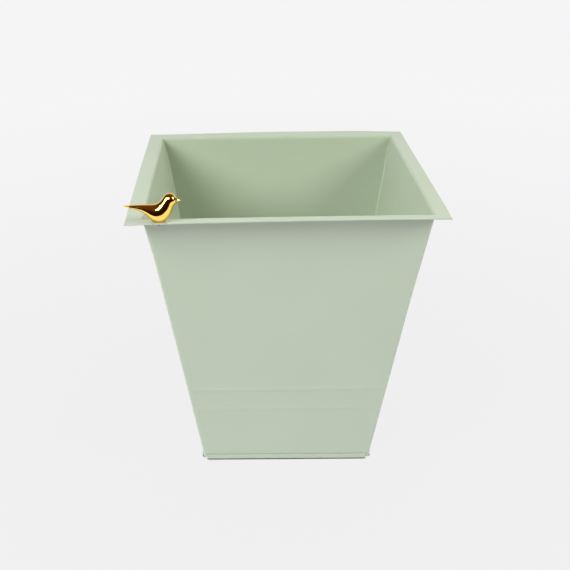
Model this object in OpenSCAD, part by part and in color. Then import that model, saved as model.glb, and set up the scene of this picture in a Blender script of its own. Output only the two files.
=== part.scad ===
// Tapered square florist bucket in folded sheet steel, with a small cast bird on its rim.
// Four leaning walls, each with its own flange and hem, stand around a raised floor tray.
// Origin: centre of the base, on the ground. +Z up, -Y is the front, the bird is at the -X end.

/* [Bucket] */
// Outer width of the square rim, flange to flange
rim_w = 300; // [260:5:380]
// Outer width of the square base, measured on the walls
base_w = 180; // [150:5:210]
// Height of the rim above the ground
bucket_h = 300; // [220:5:380]

/* [Sheet] */
// Thickness of the coated sheet
sheet_t = 1; // [0.6:0.1:1.6]
// Width of the flange that turns out around the rim
flange_w = 15; // [13:1:22]
// Inside radius of each bend in the sheet
bend_r = 2; // [0.5:0.5:3]

/* [Hem] */
// Height of the edge folded out and up around the base
hem_h = 6; // [3:0.5:10]
// How far each hem stops short of the wall's corners
hem_end = 4; // [2:0.5:8]
// Height of the notch that frees the fold at each corner
relief_h = 2; // [1:0.5:4]

/* [Floor tray] */
// Height of the tray's underside above the ground
tray_z = 71; // [30:1:110]
// Height of the tray's upturned edge
tray_edge_h = 26; // [12:1:40]
// Gap between the tray's edge and the walls
tray_gap = 0.1; // [0.05:0.05:0.5]
// Height of the sealant above the tray's edge
seal_h = 3.5; // [2:0.5:8]

/* [Bird] */
// Distance from the rim's side edge to the middle of the bird's foot
bird_inset = 30; // [20:1:60]
// Reach of the tail behind the foot
tail_reach = 32; // [20:1:40]
// Reach of the beak in front of the foot
beak_reach = 20; // [18:0.5:24]
// Height of the back above the rim
back_h = 16.5; // [14:0.5:20]
// Width of the breast
breast_w = 14.4; // [12:0.2:16]
// Width of the head
head_w = 11.2; // [9:0.2:13]
// Length and width of the flat foot
foot_size = [10.4, 5.4]; // [4:0.2:12]

/* [Fastener] */
// Thread diameter of the screw
screw_d = 3; // [2:0.5:4]
// Length of the screw under its head
screw_len = 8; // [6:1:9]
// Diameter of the screw's head
screw_head_d = 5.6; // [4:0.2:8]
// Height of the screw's head
screw_head_h = 2.4; // [1.6:0.1:3]
// Outside diameter of the washer
washer_d = 7; // [6:0.5:10]
// Thickness of the washer
washer_t = 0.5; // [0.3:0.1:1]
// Gap around the screw in the flange and the washer, on its radius
screw_gap = 0.2; // [0.1:0.05:0.5]
// Gap around the screw in its tapped hole, on its radius
thread_gap = 0.03; // [0.02:0.01:0.1]

/* [Hidden] */
$fn = 48;

sage = [0.69, 0.73, 0.66];
gold = [0.85, 0.64, 0.24];
steel = [0.72, 0.72, 0.7];
sealant = [0.8, 0.82, 0.78];

rim_half = rim_w / 2;
base_half = base_w / 2;
wall_top_half = rim_half - flange_w;
lean = (wall_top_half - base_half) / bucket_h;
lean_a = atan(lean);
up_wall = [sin(lean_a), cos(lean_a)];
into_bucket = [-cos(lean_a), sin(lean_a)];
// Thickness of a leaning wall when it is cut level
wall_cut = sheet_t / cos(lean_a);
reach = 2 * (rim_half + bucket_h);
eps = 0.01;

// Middle of the rim bend: its surfaces are arcs about this line
rim_bend_z = bucket_h - sheet_t - bend_r;
rim_bend = [wall_out(rim_bend_z) + bend_r / cos(lean_a), rim_bend_z];

// Middle of the bend between the tray's floor and its edge
tray_bend_z = tray_z + sheet_t + bend_r;
tray_bend = [wall_in(tray_bend_z) - (tray_gap + sheet_t + bend_r) / cos(lean_a), tray_bend_z];
tray_edge_z = tray_z + tray_edge_h;

bird_at = [-(rim_half - bird_inset), -(rim_half - flange_w / 2), bucket_h];
tapped_depth = screw_len - sheet_t - washer_t + 1;
recess_w = 0.22 * screw_head_d;
recess_l = 0.6 * screw_head_d;
recess_depth = 0.55 * screw_head_h;

// Distance of a wall's outer face from the middle, at height z
function wall_out(z) = base_half + lean * z;

// Distance of a wall's inner face from the middle, at height z
function wall_in(z) = wall_out(z) - wall_cut;

// Part of a bent strip about the point at, between the directions from_dir and to_dir
module bend(at, from_dir, to_dir) {
    far = 3 * (bend_r + sheet_t);
    translate(at) intersection() {
        difference() {
            circle(r = bend_r + sheet_t);
            circle(r = bend_r);
        }
        polygon([[0, 0], far * from_dir, far * (from_dir + to_dir), far * to_dir]);
    }
}

// Cross-section of a wall and its flange: first value outwards, second value up
module wall_section() {
    outer = bend_r + sheet_t;
    polygon([
        [wall_out(0), 0],
        rim_bend + bend_r * into_bucket,
        rim_bend + outer * into_bucket,
        [wall_in(0), 0]
    ]);
    bend(rim_bend, into_bucket, [0, 1]);
    translate([rim_bend[0], bucket_h - sheet_t])
        square([rim_half - rim_bend[0], sheet_t]);
}

// Cross-section of the hem, folded flat against the outside of the wall
module hem_section() {
    fold_r = 0.6 * sheet_t;
    out = sheet_t * [cos(lean_a), -sin(lean_a)];
    top = [wall_out(hem_h), hem_h];
    foot = [wall_out(0) + wall_cut, 0];
    polygon([
        [wall_out(0) - eps, 0],
        foot - [fold_r, 0],
        foot + fold_r * up_wall,
        top + out,
        top - [eps, 0]
    ]);
}

// Cross-section of one side of the tray, from its floor to the top of its edge
module tray_section() {
    outer = bend_r + sheet_t;
    face = wall_in(tray_edge_z) - tray_gap / cos(lean_a);
    translate([0, tray_z]) square([tray_bend[0], sheet_t]);
    bend(tray_bend, [0, -1], -into_bucket);
    polygon([
        tray_bend - outer * into_bucket,
        [face, tray_edge_z],
        [face - wall_cut, tray_edge_z],
        tray_bend - bend_r * into_bucket
    ]);
}

// Cross-section of the sealant in the corner between a wall and the top of the tray's edge
module seal_section() {
    top_z = tray_edge_z + seal_h;
    polygon([
        [wall_in(tray_edge_z), tray_edge_z],
        [wall_in(top_z), top_z],
        [wall_in(tray_edge_z) - wall_cut, tray_edge_z]
    ]);
}

// A section run along the front side, as long as length
module along_front(length) {
    rotate([90, 0, -90])
        translate([0, 0, -length / 2])
            linear_extrude(length) children();
}

// The quarter of space in front of the two planes that mitre the corners
module front_quarter() {
    translate([0, 0, -reach])
        linear_extrude(2 * reach)
            polygon([[0, 0], [-reach, -reach], [reach, -reach]]);
}

// The notches that free the hem's fold at both ends of the front wall
module corner_reliefs() {
    for (side = [-1, 1])
        translate([side * base_half, -base_half, 0])
            cube([2 * hem_end, 4 * wall_cut, 2 * relief_h], center = true);
}

// One wall with its flange and hem, as it stands at the front
module wall_panel() {
    intersection() {
        difference() {
            along_front(reach) wall_section();
            corner_reliefs();
        }
        front_quarter();
    }
    along_front(base_w - 2 * hem_end) hem_section();
}

// A section run around all four sides and mitred at the corners
module around_sides() {
    for (a = [0:90:270])
        rotate(a)
            intersection() {
                along_front(reach) children();
                front_quarter();
            }
}

module front_wall() {
    color(sage) difference() {
        wall_panel();
        translate([bird_at[0], bird_at[1], bucket_h - 2 * sheet_t])
            cylinder(r = screw_d / 2 + screw_gap, h = 3 * sheet_t);
    }
}

module back_wall() {
    color(sage) rotate(180) wall_panel();
}

module left_wall() {
    color(sage) rotate(-90) wall_panel();
}

module right_wall() {
    color(sage) rotate(90) wall_panel();
}

module floor_tray() {
    color(sage) around_sides() tray_section();
}

module floor_seal() {
    color(sealant) around_sides() seal_section();
}

// The bird's body, neck, beak and tail, with the middle of its foot at the origin
module bird_form() {
    breast_r = breast_w / 2;
    head_r = head_w / 2;
    back_r = 5.2;
    belly_r = 6.4;
    rump_r = 3.4;
    tip_r = 0.8;
    breast_at = [4.9, 0, 9.6];
    head_at = [11, 0, 21.9];
    rump_at = [-12, 0, back_h - rump_r];
    // Belly, breast and back on a flat foot
    hull($fn = 32) {
        scale([foot_size[0] / foot_size[1], 1, 1]) cylinder(d = foot_size[1], h = 1);
        translate([-1.5, 0, 7.2]) sphere(belly_r);
        translate(breast_at) sphere(breast_r);
        translate([-2.5, 0, back_h - back_r]) sphere(back_r);
        translate(rump_at) sphere(rump_r);
    }
    // Neck and head
    hull($fn = 32) {
        translate([4, 0, 12]) sphere(0.9 * breast_r);
        translate(head_at) sphere(head_r);
    }
    // Beak
    hull($fn = 24) {
        translate(head_at + [0.75 * head_r, 0, -1.2]) sphere(0.4 * head_r);
        translate([beak_reach - tip_r, 0, head_at[2] - 1.9]) sphere(tip_r);
    }
    // Tail
    hull($fn = 24) {
        translate(rump_at) sphere(rump_r);
        translate([tip_r - tail_reach, 0, back_h - 2 * tip_r]) sphere(tip_r);
    }
}

module bird() {
    color(gold) translate(bird_at) difference() {
        bird_form();
        translate([0, 0, -1]) cylinder(r = screw_d / 2 + thread_gap, h = tapped_depth + 1);
    }
}

// Pan-head screw that comes up through the flange into the bird
module bird_screw() {
    seat = -(sheet_t + washer_t);
    dome_r = 0.3 * screw_head_h;
    color(steel) translate(bird_at + [0, 0, seat]) {
        cylinder(d = screw_d, h = screw_len);
        difference() {
            rotate_extrude()
                polygon([
                    [0, 0],
                    [screw_head_d / 2, 0],
                    [screw_head_d / 2, dome_r - screw_head_h],
                    [screw_head_d / 2 - dome_r, -screw_head_h],
                    [0, -screw_head_h]
                ]);
            for (a = [0, 90])
                rotate(a)
                    translate([-recess_l / 2, -recess_w / 2, -screw_head_h - eps])
                        cube([recess_l, recess_w, recess_depth]);
        }
    }
}

module bird_washer() {
    color(steel) translate(bird_at - [0, 0, sheet_t + washer_t]) difference() {
        cylinder(d = washer_d, h = washer_t);
        translate([0, 0, -1]) cylinder(r = screw_d / 2 + screw_gap, h = washer_t + 2);
    }
}

front_wall();
back_wall();
left_wall();
right_wall();
floor_tray();
floor_seal();
bird();
bird_screw();
bird_washer();
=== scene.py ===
import bmesh
import bpy
import math
from mathutils import Matrix, Vector, noise


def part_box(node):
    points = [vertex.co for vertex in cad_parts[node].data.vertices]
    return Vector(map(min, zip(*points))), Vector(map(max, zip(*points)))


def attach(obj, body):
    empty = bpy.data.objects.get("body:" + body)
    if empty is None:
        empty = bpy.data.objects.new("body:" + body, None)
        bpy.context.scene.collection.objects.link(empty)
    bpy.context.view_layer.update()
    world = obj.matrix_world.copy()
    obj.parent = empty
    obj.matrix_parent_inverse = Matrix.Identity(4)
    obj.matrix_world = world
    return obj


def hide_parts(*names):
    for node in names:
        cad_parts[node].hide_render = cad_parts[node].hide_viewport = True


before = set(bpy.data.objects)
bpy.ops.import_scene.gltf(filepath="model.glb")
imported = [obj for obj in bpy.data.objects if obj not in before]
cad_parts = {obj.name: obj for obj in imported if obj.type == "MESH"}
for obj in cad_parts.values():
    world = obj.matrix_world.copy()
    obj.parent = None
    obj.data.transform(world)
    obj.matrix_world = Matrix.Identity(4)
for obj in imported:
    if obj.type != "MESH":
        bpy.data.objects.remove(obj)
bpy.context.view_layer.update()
print("frame loaded")

mm = 0.001
touching = 1e-6   # points nearer than this are in one place
welded = 1e-7
scene = bpy.context.scene

# sizes that come from the frame
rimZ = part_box("front_wall")[1].z
rimHalf = -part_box("front_wall")[0].y
trayLow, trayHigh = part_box("floor_tray")
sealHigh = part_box("floor_seal")[1].z
washerLow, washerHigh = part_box("bird_washer")
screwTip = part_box("bird_screw")[1].z
footAt = Vector(((washerLow.x + washerHigh.x) / 2, (washerLow.y + washerHigh.y) / 2, rimZ))

# what the folded sheet pieces share
sheet = {
    "thick": 1.0 * mm,
    "flange": 15 * mm,
    "baseHalf": 90 * mm,
    "bend": 3.0 * mm,        # radius on the stretched side of each bend
    "softEdge": 0.22 * mm,   # rounding that the coat gives a cut edge
    "softSteps": 3,
}
wallTop = rimHalf - sheet["flange"]
lean = (wallTop - sheet["baseHalf"]) / rimZ
leanAngle = math.atan(lean)
levelCut = sheet["thick"] / math.cos(leanAngle)  # a leaning sheet's thickness when it's cut level
bendOffset = sheet["bend"] * math.tan((math.pi / 2 - leanAngle) / 2)


def wallOut(z):
    return sheet["baseHalf"] + lean * z


def wallIn(z):
    return wallOut(z) - levelCut


def hexToLinear(code):
    channels = [int(code[i:i + 2], 16) / 255 for i in (1, 3, 5)]
    return [c / 12.92 if c <= 0.04045 else ((c + 0.055) / 1.055) ** 2.4 for c in channels] + [1]


def dimmed(colour, share):
    return [c * share for c in colour[:3]] + [1]


def addNode(tree, kind, settings=None, links=None):
    # settings are properties or sockets, links are sockets fed by (node, output)
    node = tree.nodes.new(kind)
    for key, value in (settings or {}).items():
        if isinstance(key, str) and hasattr(node, key):
            setattr(node, key, value)
        else:
            node.inputs[key].default_value = value
    for key, (source, output) in (links or {}).items():
        tree.links.new(source.outputs[output], node.inputs[key])
    return node


def newMaterial(name):
    material = bpy.data.materials.new(name)
    material.use_nodes = True
    material.node_tree.nodes.clear()
    return material, material.node_tree


def smoothStep(low, high, value):
    t = min(max((value - low) / (high - low), 0), 1)
    return t * t * (3 - 2 * t)


def everything(bm):
    return bm.verts[:] + bm.edges[:] + bm.faces[:]


def cut(bm, at, normal):
    bmesh.ops.bisect_plane(bm, geom=everything(bm), dist=welded, plane_co=at, plane_no=normal)


def roundEdges(bm, edges, offset, segments):
    bmesh.ops.bevel(bm, geom=edges, offset=offset, segments=segments, profile=0.5,
                    affect="EDGES", material=-1)


def edgesRound(verts):
    return list({e for v in verts for e in v.link_edges})


def addPiece(name, bm, material, replaced, sharpAngle=34):
    mesh = bpy.data.meshes.new(name)
    bm.to_mesh(mesh)
    bm.free()
    mesh.materials.append(material)
    mesh.shade_smooth()
    mesh.set_sharp_from_angle(angle=math.radians(sharpAngle))
    piece = bpy.data.objects.new(name, mesh)
    scene.collection.objects.link(piece)
    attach(piece, "root")
    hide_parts(replaced)


def makePowderCoat():
    # polyester powder coat, sprayed and baked: satin sage green with a fine orange peel
    coat = {
        "colour": "#bcc8b3",
        "deeper": "#b7c4ad",
        "roughness": 0.42,
        "drift": 0.05,           # how far the roughness strays either way
        "shine": 0.5,
        "peelSize": 1.8 * mm,    # real peel is 0.5 to 2 mm from crest to crest
        "peelDepth": 0.010 * mm,
        "cloudSize": 70 * mm,    # slow drift in the film's thickness
    }
    material, tree = newMaterial("sage_powder_coat")
    coords = addNode(tree, "ShaderNodeTexCoord")
    cloud = addNode(tree, "ShaderNodeTexNoise", {"Scale": 1 / coat["cloudSize"], "Detail": 2.0},
                    {"Vector": (coords, "Object")})
    tint = addNode(tree, "ShaderNodeMix",
                   {"data_type": "RGBA", 6: hexToLinear(coat["colour"]), 7: hexToLinear(coat["deeper"])},
                   {0: (cloud, "Fac")})
    gloss = addNode(tree, "ShaderNodeMapRange",
                    {"To Min": coat["roughness"] - coat["drift"],
                     "To Max": coat["roughness"] + coat["drift"]},
                    {"Value": (cloud, "Fac")})
    peel = addNode(tree, "ShaderNodeTexNoise", {"Scale": 1 / coat["peelSize"], "Detail": 1.5},
                   {"Vector": (coords, "Object")})
    bump = addNode(tree, "ShaderNodeBump", {"Strength": 1.0, "Distance": coat["peelDepth"]},
                   {"Height": (peel, "Fac")})
    shader = addNode(tree, "ShaderNodeBsdfPrincipled", {"IOR": 1.5, "Specular IOR Level": coat["shine"]},
                     {"Base Color": (tint, 2), "Roughness": (gloss, "Result"), "Normal": (bump, "Normal")})
    addNode(tree, "ShaderNodeOutputMaterial", {}, {"Surface": (shader, "BSDF")})
    return material


def makeGold():
    # polished brass casting with a gold plate: a warm mirror, barely dulled by handling
    gold = {
        "colour": "#ffd873",
        "roughness": 0.07,
        "dulled": 0.13,
        "smearSize": 7 * mm,     # where fingers have dulled the polish
        "smearFrom": 0.45,       # how much of the noise counts as a smear
        "smearFull": 0.75,
        "waveSize": 9 * mm,      # slight unevenness left by the polishing wheel
        "waveDepth": 0.012 * mm,
    }
    material, tree = newMaterial("polished_gold_plate")
    coords = addNode(tree, "ShaderNodeTexCoord")
    smear = addNode(tree, "ShaderNodeTexNoise", {"Scale": 1 / gold["smearSize"], "Detail": 3.0},
                    {"Vector": (coords, "Object")})
    polish = addNode(tree, "ShaderNodeMapRange",
                     {"From Min": gold["smearFrom"], "From Max": gold["smearFull"],
                      "To Min": gold["roughness"], "To Max": gold["dulled"]},
                     {"Value": (smear, "Fac")})
    wave = addNode(tree, "ShaderNodeTexNoise", {"Scale": 1 / gold["waveSize"], "Detail": 1.0},
                   {"Vector": (coords, "Object")})
    bump = addNode(tree, "ShaderNodeBump", {"Strength": 1.0, "Distance": gold["waveDepth"]},
                   {"Height": (wave, "Fac")})
    shader = addNode(tree, "ShaderNodeBsdfPrincipled",
                     {"Base Color": hexToLinear(gold["colour"]), "Metallic": 1.0},
                     {"Roughness": (polish, "Result"), "Normal": (bump, "Normal")})
    addNode(tree, "ShaderNodeOutputMaterial", {}, {"Surface": (shader, "BSDF")})
    return material


def makeSteel():
    # plain stainless steel, turned and stamped: grey metal with fine tool marks round its axis
    steel = {
        "colour": "#b9b8b2",
        "smoothest": 0.26,
        "roughest": 0.42,
        "markPitch": 0.25 * mm,  # real marks are finer, this is as fine as they show
        "markDepth": 0.006 * mm,
        "bandWidth": 0.314,      # of a Wave texture at a scale of 1
    }
    material, tree = newMaterial("turned_stainless_steel")
    coords = addNode(tree, "ShaderNodeTexCoord")
    centred = addNode(tree, "ShaderNodeMapping", {"Location": (-footAt.x, -footAt.y, -footAt.z)},
                      {"Vector": (coords, "Object")})
    marks = addNode(tree, "ShaderNodeTexWave",
                    {"wave_type": "RINGS", "rings_direction": "Z",
                     "Scale": steel["bandWidth"] / steel["markPitch"], "Distortion": 1.5, "Detail": 2.0},
                    {"Vector": (centred, "Vector")})
    bump = addNode(tree, "ShaderNodeBump", {"Strength": 1.0, "Distance": steel["markDepth"]},
                   {"Height": (marks, "Fac")})
    polish = addNode(tree, "ShaderNodeMapRange", {"To Min": steel["smoothest"], "To Max": steel["roughest"]},
                     {"Value": (marks, "Fac")})
    shader = addNode(tree, "ShaderNodeBsdfPrincipled",
                     {"Base Color": hexToLinear(steel["colour"]), "Metallic": 1.0},
                     {"Roughness": (polish, "Result"), "Normal": (bump, "Normal")})
    addNode(tree, "ShaderNodeOutputMaterial", {}, {"Surface": (shader, "BSDF")})
    return material


def makeSealant():
    # tooled polyurethane sealant, a shade greyer than the coat: dull, with a drawn-out skin
    bead = {
        "colour": "#b7c0ac",
        "dusty": "#c5cbbb",
        "roughness": 0.6,
        "skinSize": 3 * mm,
        "skinDepth": 0.05 * mm,
    }
    material, tree = newMaterial("tooled_sealant")
    coords = addNode(tree, "ShaderNodeTexCoord")
    skin = addNode(tree, "ShaderNodeTexNoise", {"Scale": 1 / bead["skinSize"], "Detail": 4.0},
                   {"Vector": (coords, "Object")})
    tint = addNode(tree, "ShaderNodeMix",
                   {"data_type": "RGBA", 6: hexToLinear(bead["colour"]), 7: hexToLinear(bead["dusty"])},
                   {0: (skin, "Fac")})
    bump = addNode(tree, "ShaderNodeBump", {"Strength": 1.0, "Distance": bead["skinDepth"]},
                   {"Height": (skin, "Fac")})
    shader = addNode(tree, "ShaderNodeBsdfPrincipled", {"Roughness": bead["roughness"], "IOR": 1.48},
                     {"Base Color": (tint, 2), "Normal": (bump, "Normal")})
    addNode(tree, "ShaderNodeOutputMaterial", {}, {"Surface": (shader, "BSDF")})
    return material


powderCoat = makePowderCoat()
goldPlate = makeGold()
turnedSteel = makeSteel()
sealant = makeSealant()
print("materials ready")

# the four sheet-metal walls
wall = {
    "hemHigh": 6.0 * mm,
    "hemShort": 4.0 * mm,     # each hem stops this far short of the wall's corners
    "crease": 0.1 * mm,       # air left inside the closed hem
    "flapClear": 0.03 * mm,   # a point this far outside the wall is on the hem's flap
    "foldFill": 0.98,         # share of the fold's width that its two turns take up
    "foldSteps": 4,
    "bendSteps": 8,
    "relief": 2.0 * mm,       # at the corners the fold is cut back to this height
    "cornerRound": 2.6 * mm,  # outer radius of the dressed upright corners
    "roundFrom": 0.98,        # share of the half width where that rounding starts
    "roundSteps": 5,
    "mitreUp": (rimZ - 12 * mm, rimZ - 4 * mm),  # where the round corner turns into the flange's mitre
    "columns": 36,
    "rowStep": 10 * mm,
    "printStep": 0.9 * mm,    # rows are closer where the tray prints through
    "printRows": 6,
    "underBend": 4.5 * mm,    # the last row, below the rim's bend
    "flangeRows": (0.6 * mm, sheet["flange"] - 3.4 * mm),  # in from the flange's edge
    "bendPrint": 0.25 * mm,   # the tray's bend prints through the wall
    "edgePrint": 0.45 * mm,   # and so does the tray's top edge
    "ridgeHalf": 2.4 * mm,
    "printFade": (0.9, 0.98),  # share of the half width where the prints and the slack end
    "slack": 0.25 * mm,       # how far the flat sheet wanders
    "slackSize": 80 * mm,
    "slackBelow": 10 * mm,    # it stops this far below the rim
    "screwHole": 1.7 * mm,    # radius
    "holeSteps": 24,
    "holeFrame": 1.6,         # the square swapped for the hole, in hole radii
    "stripHalf": 100 * mm,    # half length of the strip before it's fanned out
    "sharpTurn": 80,          # degrees, past which an edge counts as cut
}
hemEndShare = wall["roundFrom"] * (wallOut(0) - wall["hemShort"]) / (wallOut(0) - wall["cornerRound"])


def foldLine(bm, out, z):
    def isOnLine(v):
        return abs(v.co.y + out) < touching and abs(v.co.z - z) < touching

    return [e for e in bm.edges if all(isOnLine(v) for v in e.verts)]


def bendStrip(bm):
    # the strip's profile run along X, with its outside towards -Y
    half = wall["stripHalf"]
    foldIn = wallIn(0)
    foldOut = wallOut(0) + levelCut + wall["crease"]
    tip = (wallOut(wall["hemHigh"]) + levelCut + wall["crease"], wall["hemHigh"])
    profile = [tip, (foldOut, 0), (foldIn, 0), (wallIn(rimZ), rimZ), (rimHalf, rimZ)]
    verts = [bm.verts.new((-half, -out, z)) for out, z in profile]
    edges = [bm.edges.new(pair) for pair in zip(verts, verts[1:])]
    bmesh.ops.spin(bm, geom=verts + edges, cent=(0, 0, 0), axis=(1, 0, 0), angle=0,
                   dvec=(2 * half / wall["columns"], 0, 0), steps=wall["columns"])
    bmesh.ops.remove_doubles(bm, verts=bm.verts, dist=welded)

    # the rim's bend, and the two turns that make the hem's fold
    roundEdges(bm, foldLine(bm, wallIn(rimZ), rimZ), bendOffset, wall["bendSteps"])
    foldRadius = wall["foldFill"] * (foldOut - foldIn) / 2
    for out, slant in ((foldOut, -leanAngle), (foldIn, leanAngle)):
        offset = foldRadius * math.tan((math.pi / 2 + slant) / 2)
        roundEdges(bm, foldLine(bm, out, 0), offset, wall["foldSteps"])


def divideStrip(bm):
    # rows up the wall and across the flange
    rows = [wall["relief"], rimZ - wall["underBend"]]
    rows += [i * wall["rowStep"] for i in range(1, int(rimZ / wall["rowStep"]))]
    for ridge in (trayLow.z, trayHigh.z):
        rows += [ridge + i * wall["printStep"] for i in range(-wall["printRows"], wall["printRows"] + 1)]
    for z in rows:
        cut(bm, (0, 0, z), (0, 0, 1))
    for inset in wall["flangeRows"]:
        cut(bm, (0, inset - rimHalf, 0), (0, 1, 0))
    # columns at the hem's ends and round the upright corners
    stepShare = (1 - wall["roundFrom"]) / wall["roundSteps"]
    shares = [hemEndShare] + [1 - i * stepShare for i in range(1, wall["roundSteps"] + 1)]
    for share in shares + [-s for s in shares]:
        cut(bm, (share * wall["stripHalf"], 0, 0), (1, 0, 0))


def trimHem(bm):
    # the hem and its fold stop short of both ends
    spare = []
    for face in bm.faces:
        middle = face.calc_center_median()
        inFlap = middle.z < wall["hemHigh"] and -middle.y > wallOut(middle.z)
        atEnd = abs(middle.x) > hemEndShare * wall["stripHalf"]
        if atEnd and (inFlap or middle.z < wall["relief"]):
            spare.append(face)
    bmesh.ops.delete(bm, geom=spare, context="FACES")


def pierce(bm):
    # swap a small square of the flange for a ring of faces round the screw's hole
    stretch = wall["stripHalf"] * wall["roundFrom"] / (rimHalf - sheet["flange"] / 2 - wall["cornerRound"])
    holeX = footAt.x * wall["roundFrom"] / (-footAt.y - wall["cornerRound"]) * wall["stripHalf"]
    holeY = footAt.y
    size = wall["holeFrame"] * wall["screwHole"]
    for side in (-1, 1):
        cut(bm, (holeX + side * size, 0, 0), (1, 0, 0))
        cut(bm, (0, holeY + side * size, 0), (0, 1, 0))

    def isInSquare(v):
        across, along = abs(v.co.x - holeX), abs(v.co.y - holeY)
        return max(across, along) < size + touching and abs(v.co.z - rimZ) < size

    inside = [f for f in bm.faces if all(isInSquare(v) for v in f.verts)]
    bmesh.ops.delete(bm, geom=inside, context="FACES")
    square = [e for e in bm.edges if e.is_boundary and all(isInSquare(v) for v in e.verts)]
    place = Matrix.Translation((holeX, holeY, rimZ)) @ Matrix.Diagonal((stretch, 1, 1, 1))
    circle = bmesh.ops.create_circle(bm, radius=wall["screwHole"], segments=wall["holeSteps"], matrix=place)
    bmesh.ops.bridge_loops(bm, edges=square + edgesRound(circle["verts"]))


def softenCuts(bm):
    # the coat rounds the cut edges, but not the ends that meet at the mitre
    cutEdges = []
    for edge in bm.edges:
        nearHem = all(v.co.z < wall["hemHigh"] + sheet["thick"] / 2 for v in edge.verts)
        atRim = all(v.co.y < sheet["thick"] / 2 - rimHalf for v in edge.verts)
        atEnd = all(abs(v.co.x) > wall["stripHalf"] - touching for v in edge.verts)
        isSharp = edge.calc_face_angle(0) > math.radians(wall["sharpTurn"])
        if (nearHem or atRim) and isSharp and not atEnd:
            cutEdges.append(edge)
    roundEdges(bm, cutEdges, sheet["softEdge"], sheet["softSteps"])
    for v in bm.verts:
        v.co.z = max(v.co.z, 0)


def makeStrip(withHole):
    # one folded strip, before its ends are mitred
    bm = bmesh.new()
    bendStrip(bm)
    divideStrip(bm)
    trimHem(bm)
    if withHole:
        pierce(bm)
    bmesh.ops.recalc_face_normals(bm, faces=bm.faces)
    bmesh.ops.solidify(bm, geom=bm.faces[:], thickness=sheet["thick"])
    softenCuts(bm)
    return bm


def fanOut(bm):
    # spread each end of the strip to the mitre, and round the upright corners on the way
    start = wall["roundFrom"]
    for v in bm.verts:
        out, z = -v.co.y, v.co.z
        inFlap = z < 2 * wall["hemHigh"] and out > wallOut(z) + wall["flapClear"]
        reach = wallOut(z) if inFlap else out
        onOutside = out > wallIn(z) + 0.5 * levelCut
        radius = wall["cornerRound"] - (0 if onOutside or z > rimZ - sheet["bend"] else sheet["thick"])
        share = abs(v.co.x) / wall["stripHalf"]
        if share <= start:
            along = share / start * (reach - radius)
        else:
            turn = (share - start) / (1 - start)
            rounding = 1 - smoothStep(*wall["mitreUp"], z)
            angle = turn * math.pi / 4
            sharp = reach - radius * (1 - turn)
            smooth = reach - radius * (1 - math.sin(angle))
            along = sharp + (smooth - sharp) * rounding
            out -= radius * (1 - math.cos(angle)) * rounding
        # the tray's prints, and the slack in the flat sheet
        fade = 1 - smoothStep(*wall["printFade"], share)
        if wall["hemHigh"] < z < rimZ - wall["slackBelow"]:
            for ridge, high in ((trayLow.z, wall["bendPrint"]), (trayHigh.z, wall["edgePrint"])):
                out += high * fade * math.exp(-((z - ridge) / wall["ridgeHalf"]) ** 2)
            wander = noise.noise(Vector((v.co.x, 0, z)) / wall["slackSize"]) * wall["slack"]
            out += wander * fade * math.sin(math.pi * z / rimZ)
        v.co.x = math.copysign(along, v.co.x)
        v.co.y = -out


# how the whole bucket is out of true: each pair says where a distortion starts and where it's full
settle = {
    "frontBow": 1.5 * mm,      # the front wall's top is pulled in at its middle
    "frontBowOut": (40 * mm, 130 * mm),
    "frontBowUp": (0.55 * rimZ, rimZ),
    "rimUp": (rimZ - 12 * mm, rimZ - 2 * mm),
    "frontLift": 1.0 * mm,     # the front flange is tipped up
    "frontTilt": 0.4 * mm,     # and less so at its left end
    "backLift": 1.9 * mm,      # the back flange is tipped up along its middle
    "backRise": (-rimHalf, 0),
    "backFall": (90 * mm, rimHalf),
    "backLoss": 0.8,           # share of the lift that's lost at the right corner
    "cornerDrop": 0.3 * mm,    # the flange's corner by the bird is bent down a little
    "cornerOut": (wallTop - 5 * mm, rimHalf),
    "cornerPull": 1.3 * mm,    # the other front corner is pulled in
    "pullAlong": (100 * mm, rimHalf),
    "pullOut": (120 * mm, rimHalf),
    "leftBow": 1.0 * mm,       # the left wall's top stands out with its flange
    "leftBelly": 0.6 * mm,     # and a little more at its middle
    "leftBowUp": (0.84 * rimZ, 0.97 * rimZ),
    "rightBow": 1.5 * mm,      # the right wall's top stands out under its flange
    "rightBowUp": (0.65 * rimZ, 0.97 * rimZ),
    "skirtFlare": 0.2 * mm,    # the left front edge is knocked outwards at the base
    "flareUp": (-0.4 * trayHigh.z, 1.2 * trayHigh.z),
    "baseShift": 2.0 * mm,     # the base sits forward under the rim
    "baseSkew": 3.2 * mm,      # and askew, with its right side further forward
}


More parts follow.
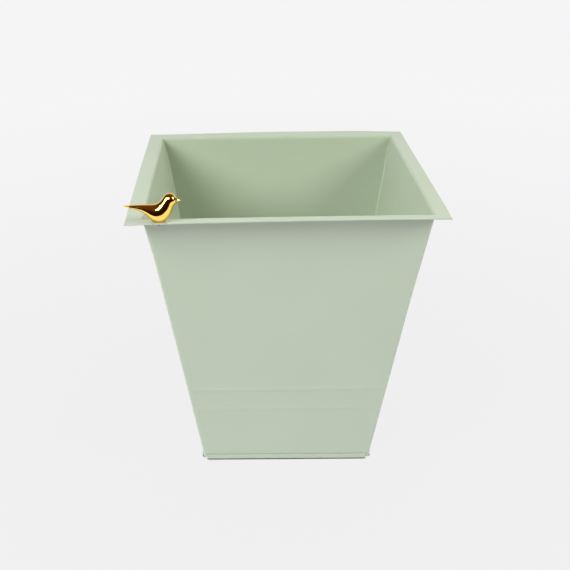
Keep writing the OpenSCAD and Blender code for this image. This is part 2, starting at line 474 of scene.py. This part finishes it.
def settleShape(bm):
    # the same for each piece, so that the seams stay shut
    for v in bm.verts:
        x, y, z = v.co
        across = max(1 - (x / rimHalf) ** 2, 0)
        onRim = smoothStep(*settle["rimUp"], z)

        bow = across * smoothStep(*settle["frontBowOut"], -y) * smoothStep(*settle["frontBowUp"], z)
        v.co.y += settle["frontBow"] * bow
        lift = settle["frontLift"] + settle["frontTilt"] * (across + x / rimHalf)
        v.co.z += lift * onRim * smoothStep(wallTop, rimHalf, -y)

        loss = settle["backLoss"] * smoothStep(*settle["backFall"], x)
        rise = smoothStep(*settle["backRise"], x) * (1 - loss)
        v.co.z += settle["backLift"] * rise * onRim * smoothStep(wallTop, rimHalf, y)

        atBird = smoothStep(*settle["cornerOut"], -x) * smoothStep(*settle["cornerOut"], -y)
        v.co.z -= settle["cornerDrop"] * atBird * onRim
        atOther = smoothStep(*settle["pullAlong"], x) * smoothStep(*settle["pullOut"], -y)
        v.co.x -= settle["cornerPull"] * atOther * onRim

        leftBow = settle["leftBow"] + settle["leftBelly"] * max(1 - (y / rimHalf) ** 2, 0)
        v.co.x -= leftBow * smoothStep(0, wallTop, -x) * smoothStep(*settle["leftBowUp"], z)
        underRight = smoothStep(0, wallTop, x) * (1 - smoothStep(wallTop, rimHalf, x))
        v.co.x += settle["rightBow"] * underRight * smoothStep(*settle["rightBowUp"], z)

        atSkirt = smoothStep(0, sheet["baseHalf"], -x) * smoothStep(0, sheet["baseHalf"], -y)
        v.co.x -= settle["skirtFlare"] * atSkirt * (1 - smoothStep(*settle["flareUp"], z))
        v.co.y -= (settle["baseShift"] + settle["baseSkew"] * x / sheet["baseHalf"]) * (1 - z / rimZ)
        v.co.y = min(max(v.co.y, -rimHalf), rimHalf)


for name, quarter in (("front_wall", 0), ("right_wall", 1), ("back_wall", 2), ("left_wall", 3)):
    bm = makeStrip(name == "front_wall")
    fanOut(bm)
    turned = Matrix.Rotation(quarter * math.pi / 2, 3, "Z")
    bmesh.ops.rotate(bm, verts=bm.verts, cent=(0, 0, 0), matrix=turned)
    settleShape(bm)
    addPiece(name + "_sheet", bm, powderCoat, name)
print("walls made")

# the raised floor tray
tray = {
    "gap": 0.1 * mm,         # between its edge and the walls
    "cornerRound": 4 * mm,
    "cornerSteps": 6,
    "bendSteps": 6,
    "crown": 0.6 * mm,       # the floor stands a little high in its middle
    "cells": 12,
    "lipRow": 0.6 * mm,      # a row this far below the top of the edge
    "bendTurn": 50,          # degrees, past which an edge is the bend
    "lipTurn": 60,
}


def makeTray():
    low, high = trayLow.z, trayHigh.z
    inset = tray["gap"] / math.cos(leanAngle)
    lowHalf, highHalf = wallIn(low) - inset, wallIn(high) - inset
    bm = bmesh.new()
    bmesh.ops.create_grid(bm, x_segments=tray["cells"], y_segments=tray["cells"], size=lowHalf,
                          matrix=Matrix.Translation((0, 0, low)))
    border = [e for e in bm.edges if e.is_boundary]
    grown = bmesh.ops.extrude_edge_only(bm, edges=border)["geom"]
    for v in grown:
        if isinstance(v, bmesh.types.BMVert):
            v.co = Vector((v.co.x * highHalf / lowHalf, v.co.y * highHalf / lowHalf, high))
    cut(bm, (0, 0, high - tray["lipRow"]), (0, 0, 1))

    def isUpright(edge):
        onDiagonal = all(abs(abs(v.co.x) - abs(v.co.y)) < touching for v in edge.verts)
        return onDiagonal and abs(edge.verts[0].co.z - edge.verts[1].co.z) > touching

    def isBend(edge):
        atFloor = all(abs(v.co.z - low) < touching for v in edge.verts)
        return atFloor and edge.calc_face_angle(0) > math.radians(tray["bendTurn"])

    def isLip(edge):
        atTop = all(v.co.z > high - tray["lipRow"] / 2 for v in edge.verts)
        return atTop and edge.calc_face_angle(0) > math.radians(tray["lipTurn"])

    roundEdges(bm, [e for e in bm.edges if isUpright(e)], tray["cornerRound"], tray["cornerSteps"])
    roundEdges(bm, [e for e in bm.edges if isBend(e)], bendOffset, tray["bendSteps"])
    # this surface is the tray's outside, so it looks down before it gets its thickness
    bmesh.ops.recalc_face_normals(bm, faces=bm.faces)
    if sum(f.normal.z for f in bm.faces) > 0:
        bmesh.ops.reverse_faces(bm, faces=bm.faces)
    bmesh.ops.solidify(bm, geom=bm.faces[:], thickness=sheet["thick"])
    roundEdges(bm, [e for e in bm.edges if isLip(e)], sheet["softEdge"], sheet["softSteps"])
    for v in bm.verts:
        spread = max(1 - (v.co.x / lowHalf) ** 2, 0) * max(1 - (v.co.y / lowHalf) ** 2, 0)
        if v.co.z < low + 1.5 * sheet["thick"]:
            v.co.z += tray["crown"] * spread
    return bm


bm = makeTray()
settleShape(bm)
addPiece("floor_tray_sheet", bm, powderCoat, "floor_tray")

# the bead of sealant on top of the tray's edge
seal = {
    "cornerRound": 4 * mm,
    "cornerSteps": 5,
    "hollow": 0.18 * mm,     # how far the tooled face is drawn in
    "hollowUp": 0.32,        # where, as a share of the bead's height
    "hollowOut": 0.45,       # and how far out it would be undrawn, as a share of its width
    "offWall": 0.02 * mm,    # keeps the two faces from lying in one plane
    "waver": 0.25 * mm,      # how far the tooled face wanders up and down
    "waverSize": 14 * mm,
    "edgeStill": 0.3 * mm,   # no wandering this near the bead's top and bottom
    "sideSteps": 60,
}


def makeSealBead():
    # rings round a square with rounded corners, from the wall down to the tray's edge and back
    low, high = trayHigh.z, sealHigh
    face = wallIn(low) - seal["hollowOut"] * levelCut - seal["hollow"]
    outline = [(wallIn(high) - seal["offWall"], high), (face, low + seal["hollowUp"] * (high - low)),
               (wallIn(low) - levelCut, low), (wallIn(low) - seal["offWall"], low)]
    bm = bmesh.new()
    loops = []
    for half, z in outline:
        place = Matrix.Translation((0, 0, z))
        corners = bmesh.ops.create_grid(bm, x_segments=1, y_segments=1, size=half, matrix=place)["verts"]
        bmesh.ops.bevel(bm, geom=corners, offset=seal["cornerRound"], segments=seal["cornerSteps"],
                        profile=0.5, affect="VERTICES", material=-1)
        square = bm.faces[:]
        loops.append([e for f in square for e in f.edges])
        bmesh.ops.delete(bm, geom=square, context="FACES_ONLY")
    for first, second in zip(loops, loops[1:] + loops[:1]):
        bmesh.ops.bridge_loops(bm, edges=first + second)
    for i in range(1, seal["sideSteps"]):
        place = (2 * i / seal["sideSteps"] - 1) * wallIn(low)
        cut(bm, (place, 0, 0), (1, 0, 0))
        cut(bm, (0, place, 0), (0, 1, 0))
    for v in bm.verts:
        if low + seal["edgeStill"] < v.co.z < high - seal["edgeStill"]:
            v.co.z += noise.noise(v.co / seal["waverSize"]) * seal["waver"]
    bmesh.ops.recalc_face_normals(bm, faces=bm.faces)
    return bm


bm = makeSealBead()
settleShape(bm)
addPiece("floor_seal_bead", bm, sealant, "floor_seal")
print("tray and sealant made")

# the bird, whose screw and washer stay as they are in the frame
bird = {
    "segments": 32,
    "fineness": 4,          # rings drawn between two stations
    "boreRadius": 1.53 * mm,
    "boreSegments": 24,
    "borePast": 1 * mm,     # the bore runs this far past the screw's tip
    "sharpAngle": 40,
    # top x and z, bottom x and z, half width, all in mm from the middle of the foot
    "stations": [
        (-31.9, 15.1, -31.8, 14.9, 0.3), (-30.0, 15.9, -29.4, 14.2, 1.2), (-24.0, 16.5, -24.0, 13.5, 2.1),
        (-16.0, 16.9, -16.0, 10.9, 3.7), (-10.5, 17.0, -10.9, 7.1, 5.1), (-6.0, 16.9, -6.8, 1.6, 6.3),
        (-1.6, 17.2, -1.8, -1.4, 7.1), (2.3, 20.0, 4.4, -1.2, 7.3), (4.6, 23.0, 9.5, 4.2, 6.8),
        (6.4, 25.6, 12.2, 9.3, 6.0), (8.3, 27.1, 13.3, 13.2, 5.7), (10.9, 27.6, 14.2, 15.8, 5.8),
        (13.4, 27.3, 15.6, 17.2, 5.3), (15.2, 25.5, 16.7, 18.0, 4.0), (16.3, 23.6, 17.2, 18.5, 2.4),
        (17.6, 22.3, 18.2, 19.0, 1.5), (18.8, 21.5, 19.0, 19.5, 1.1), (20.1, 20.7, 20.0, 20.0, 0.4),
    ],
}


def smoothStations():
    # a cubic B-spline through the stations, which keeps its ends
    rows = [Vector(s) for s in bird["stations"]]
    rows = [rows[0]] * 2 + rows + [rows[-1]] * 2
    rings = []
    for a, b, c, d in zip(rows, rows[1:], rows[2:], rows[3:]):
        for i in range(bird["fineness"]):
            t = i / bird["fineness"]
            rings.append((a * (1 - t) ** 3 + b * (3 * t ** 3 - 6 * t ** 2 + 4)
                          + c * (3 * t * (1 + t - t * t) + 1) + d * t ** 3) / 6)
    return rings + [rows[-1]]


def addRing(bm, station):
    # an oval ring that stands on the line from a station's bottom point to its top point
    topX, topZ, lowX, lowZ, halfWide = station
    top, low = Vector((topX, 0, topZ)), Vector((lowX, 0, lowZ))
    up = (top - low) / 2
    oval = Matrix((up, Vector((0, halfWide, 0)), up.cross(Vector((0, 1, 0))))).transposed().to_4x4()
    place = Matrix.Translation(footAt) @ Matrix.Scale(mm, 4) @ Matrix.Translation((top + low) / 2) @ oval
    return bmesh.ops.create_circle(bm, radius=1, segments=bird["segments"], matrix=place)["verts"]


def makeBird():
    bm = bmesh.new()
    loops = [addRing(bm, station) for station in smoothStations()]
    edgeLoops = [edgesRound(loop) for loop in loops]
    for first, second in zip(edgeLoops, edgeLoops[1:]):
        bmesh.ops.bridge_loops(bm, edges=first + second)
    for loop in (loops[0], loops[-1]):
        middle = sum((v.co for v in loop), Vector()) / len(loop)
        bmesh.ops.pointmerge(bm, verts=loop, merge_co=middle)

    # a flat foot with its tapped hole
    bmesh.ops.bisect_plane(bm, geom=everything(bm), dist=welded, plane_co=footAt, plane_no=(0, 0, -1),
                           clear_outer=True)
    footEdges = [e for e in bm.edges if e.is_boundary]
    circle = bmesh.ops.create_circle(bm, radius=bird["boreRadius"], segments=bird["boreSegments"],
                                     matrix=Matrix.Translation(footAt))
    boreEdges = edgesRound(circle["verts"])
    bmesh.ops.bridge_loops(bm, edges=footEdges + boreEdges)
    grown = bmesh.ops.extrude_edge_only(bm, edges=boreEdges)["geom"]
    topVerts = [g for g in grown if isinstance(g, bmesh.types.BMVert)]
    bmesh.ops.translate(bm, verts=topVerts, vec=(0, 0, screwTip - rimZ + bird["borePast"]))
    topEdges = [g for g in grown if isinstance(g, bmesh.types.BMEdge) and g.is_boundary]
    bmesh.ops.contextual_create(bm, geom=topEdges)
    bmesh.ops.recalc_face_normals(bm, faces=bm.faces)
    return bm


addPiece("bird_casting", makeBird(), goldPlate, "bird", bird["sharpAngle"])
for name in ("bird_screw", "bird_washer"):
    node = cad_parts[name]
    node.data.materials.clear()
    node.data.materials.append(turnedSteel)
print("bird made")

# the studio: a lit sheet of white paper under and behind the bucket, in an unlit room
studio = {
    "paper": "#f7f7f7",
    "bounceTint": "#f5f1fb",
    "floorGlow": 0.985,      # share of the floor's tone that doesn't depend on the lights
    "nearGlow": 0.925,       # painted shade: the paper's glow is dimmer towards the bucket
    "glowReach": (0.15, 1.6),  # metres from the bucket's middle
    "floorBounce": 1.22,     # how much brighter the lit paper is for the bucket than it looks
    "contact": 2.0 * mm,     # reach of the thin shadow where the hems touch the floor
    "contactFull": 0.5,      # how open the floor is where that shadow is darkest
    "contactRays": 8,
    "grainScale": 900.0,
    "grainDepth": 0.02 * mm,
    "floorHalf": 6.0,
    "floorFront": 0.8,       # the paper ends in front of the bucket, and the gloom begins
    "sweep": 0.9,            # the lit paper behind the bucket, as it shows in a shiny surface
    "sweepEdge": (0.92, 0.35),  # towards +Y, where the paper ends there and the gloom is full
    "sweepFill": 1.65,       # and what it adds to a dull one
    "fillEdge": (0.65, 0.0),
    "floorFill": 0.8,        # the paper beyond its front edge, for dull surfaces only
    "horizon": (0.02, -0.02),
    "roomFill": 0.02,
    "gloomHigh": "#6e4a2c",  # the unlit room above and behind the camera, which shows in the gold
    "gloomLow": "#2a1609",
}


def makePaper():
    material, tree = newMaterial("white_paper_floor")
    coords = addNode(tree, "ShaderNodeTexCoord")
    grain = addNode(tree, "ShaderNodeTexNoise", {"Scale": studio["grainScale"], "Detail": 2.0},
                    {"Vector": (coords, "Object")})
    bump = addNode(tree, "ShaderNodeBump", {"Strength": 0.2, "Distance": studio["grainDepth"]},
                   {"Height": (grain, "Fac")})
    paper = hexToLinear(studio["paper"])
    diffuse = addNode(tree, "ShaderNodeBsdfDiffuse", {"Color": dimmed(paper, 1 - studio["floorGlow"])},
                      {"Normal": (bump, "Normal")})

    # painted shade: the glow is weaker near the bucket and in the contact shadow
    rays = addNode(tree, "ShaderNodeLightPath")
    shade = addNode(tree, "ShaderNodeAmbientOcclusion",
                    {"samples": studio["contactRays"], "Distance": studio["contact"]})
    away = addNode(tree, "ShaderNodeVectorMath", {"operation": "LENGTH"}, {0: (coords, "Object")})
    nearEnd, farEnd = studio["glowReach"]
    falloff = addNode(tree, "ShaderNodeMapRange",
                      {"From Min": nearEnd, "From Max": farEnd,
                       "To Min": studio["nearGlow"], "To Max": studio["floorGlow"]},
                      {"Value": (away, "Value")})
    contact = addNode(tree, "ShaderNodeMapRange", {"From Min": studio["contactFull"]},
                      {"Value": (shade, "AO"), "To Max": (falloff, 0)})
    strength = addNode(tree, "ShaderNodeMix", {"data_type": "FLOAT", 2: studio["floorBounce"]},
                       {0: (rays, "Is Camera Ray"), 3: (contact, 0)})
    tone = addNode(tree, "ShaderNodeMix",
                   {"data_type": "RGBA", 6: hexToLinear(studio["bounceTint"]), 7: paper},
                   {0: (rays, "Is Camera Ray")})
    glow = addNode(tree, "ShaderNodeEmission", {}, {"Color": (tone, 2), "Strength": (strength, 0)})
    both = addNode(tree, "ShaderNodeAddShader", {}, {0: (diffuse, 0), 1: (glow, 0)})

    # from below the paper is clear, so that the bucket's underside can be looked at
    clear = addNode(tree, "ShaderNodeBsdfTransparent")
    side = addNode(tree, "ShaderNodeNewGeometry")
    seen = addNode(tree, "ShaderNodeMixShader", {}, {0: (side, "Backfacing"), 1: (both, 0), 2: (clear, 0)})
    addNode(tree, "ShaderNodeOutputMaterial", {}, {"Surface": (seen, 0)})
    return material


def makeFloor():
    bm = bmesh.new()
    bmesh.ops.create_grid(bm, x_segments=4, y_segments=4, size=studio["floorHalf"])
    bmesh.ops.translate(bm, verts=bm.verts, vec=(0, studio["floorHalf"] - studio["floorFront"], 0))
    mesh = bpy.data.meshes.new("floor")
    bm.to_mesh(mesh)
    bm.free()
    mesh.materials.append(makePaper())
    floor = bpy.data.objects.new("floor", mesh)
    scene.collection.objects.link(floor)


def addEdge(tree, split, axis, ends, interpolation):
    # 0 before the first end and 1 past the second, along one axis of the direction looked in
    first, second = ends
    return addNode(tree, "ShaderNodeMapRange",
                   {"interpolation_type": interpolation, "From Min": first, "From Max": second},
                   {"Value": (split, axis)})


def makeWorld():
    world = bpy.data.worlds.new("studio")
    world.use_nodes = True
    scene.world = world
    tree = world.node_tree
    tree.nodes.clear()
    paper = hexToLinear(studio["paper"])
    bounce = hexToLinear(studio["bounceTint"])
    coords = addNode(tree, "ShaderNodeTexCoord")
    split = addNode(tree, "ShaderNodeSeparateXYZ", {}, {0: (coords, "Generated")})
    rays = addNode(tree, "ShaderNodeLightPath")

    # what a shiny surface reflects: the sweep of paper behind, and the gloom in front
    dark = addEdge(tree, split, "Y", studio["sweepEdge"], "SMOOTHSTEP")
    gloom = addNode(tree, "ShaderNodeMix",
                    {"data_type": "RGBA", 6: hexToLinear(studio["gloomLow"]),
                     7: hexToLinear(studio["gloomHigh"])},
                    {0: (split, "Z")})
    mirrored = addNode(tree, "ShaderNodeMix", {"data_type": "RGBA", 6: dimmed(paper, studio["sweep"])},
                       {0: (dark, 0), 7: (gloom, 2)})

    # what lights a dull surface
    unlit = addEdge(tree, split, "Y", studio["fillEdge"], "SMOOTHSTEP")
    above = addNode(tree, "ShaderNodeMix",
                    {"data_type": "RGBA", 6: dimmed(bounce, studio["sweepFill"]),
                     7: dimmed(bounce, studio["roomFill"])},
                    {0: (unlit, 0)})
    below = addEdge(tree, split, "Z", studio["horizon"], "LINEAR")
    filled = addNode(tree, "ShaderNodeMix", {"data_type": "RGBA", 7: dimmed(bounce, studio["floorFill"])},
                     {0: (below, 0), 6: (above, 2)})

    tint = addNode(tree, "ShaderNodeMix", {"data_type": "RGBA"},
                   {0: (rays, "Is Diffuse Ray"), 6: (mirrored, 2), 7: (filled, 2)})
    around = addNode(tree, "ShaderNodeBackground", {}, {0: (tint, 2)})
    seen = addNode(tree, "ShaderNodeBackground", {"Color": paper})
    both = addNode(tree, "ShaderNodeMixShader", {},
                   {0: (rays, "Is Camera Ray"), 1: (around, 0), 2: (seen, 0)})
    addNode(tree, "ShaderNodeOutputWorld", {}, {"Surface": (both, 0)})


softboxes = {
    "left_softbox": {
        "at": (-1.44, -1.21, 1.52), "size": (1.2, 1.3),
        "power": 48, "colour": (1, 1, 1), "reaches": "dull",
    },
    # the narrow half of the left light, which draws the long streak on the gold
    "left_strip": {
        "at": (-1.50, -1.35, 1.30), "size": (1.3, 0.5),
        "power": 20, "colour": (1, 0.98, 0.95), "reaches": "shiny",
    },
    "right_softbox": {
        "at": (1.81, -0.66, 1.45), "size": (0.9, 1.0),
        "power": 35, "colour": (1, 0.98, 0.92), "reaches": "both",
    },
}
aimedAt = Vector((0, 0, 0.2))


def addSoftbox(name, box):
    light = bpy.data.lights.new(name, "AREA")
    light.shape = "RECTANGLE"
    light.size, light.size_y = box["size"]
    light.energy = box["power"]
    light.color = box["colour"]
    lamp = bpy.data.objects.new(name, light)
    at = Vector(box["at"])
    lamp.matrix_world = Matrix.Translation(at) @ (aimedAt - at).to_track_quat("-Z", "Y").to_matrix().to_4x4()
    lamp.visible_glossy = box["reaches"] != "dull"
    lamp.visible_diffuse = box["reaches"] != "shiny"
    scene.collection.objects.link(lamp)


makeFloor()
makeWorld()
for name, box in softboxes.items():
    addSoftbox(name, box)
scene.view_settings.view_transform = "Standard"
scene.view_settings.gamma = 0.9
print("studio made")

camera = {
    "at": (-45.5 * mm, -930.3 * mm, 600.8 * mm),
    "yaw": -2.9527,
    "down": 24.9293,
    "roll": 0.1234,
    "lens": 58.0,
    "sensor": 36,
    "nearest": 0.01,
}
lens = bpy.data.cameras.new("camera")
lens.lens = camera["lens"]
lens.sensor_width = camera["sensor"]
lens.clip_start = camera["nearest"]
eye = bpy.data.objects.new("camera", lens)
eye.matrix_world = (Matrix.Translation(camera["at"]) @ Matrix.Rotation(math.radians(camera["yaw"]), 4, "Z")
                    @ Matrix.Rotation(math.radians(90 - camera["down"]), 4, "X")
                    @ Matrix.Rotation(math.radians(camera["roll"]), 4, "Z"))
scene.collection.objects.link(eye)
scene.camera = eye
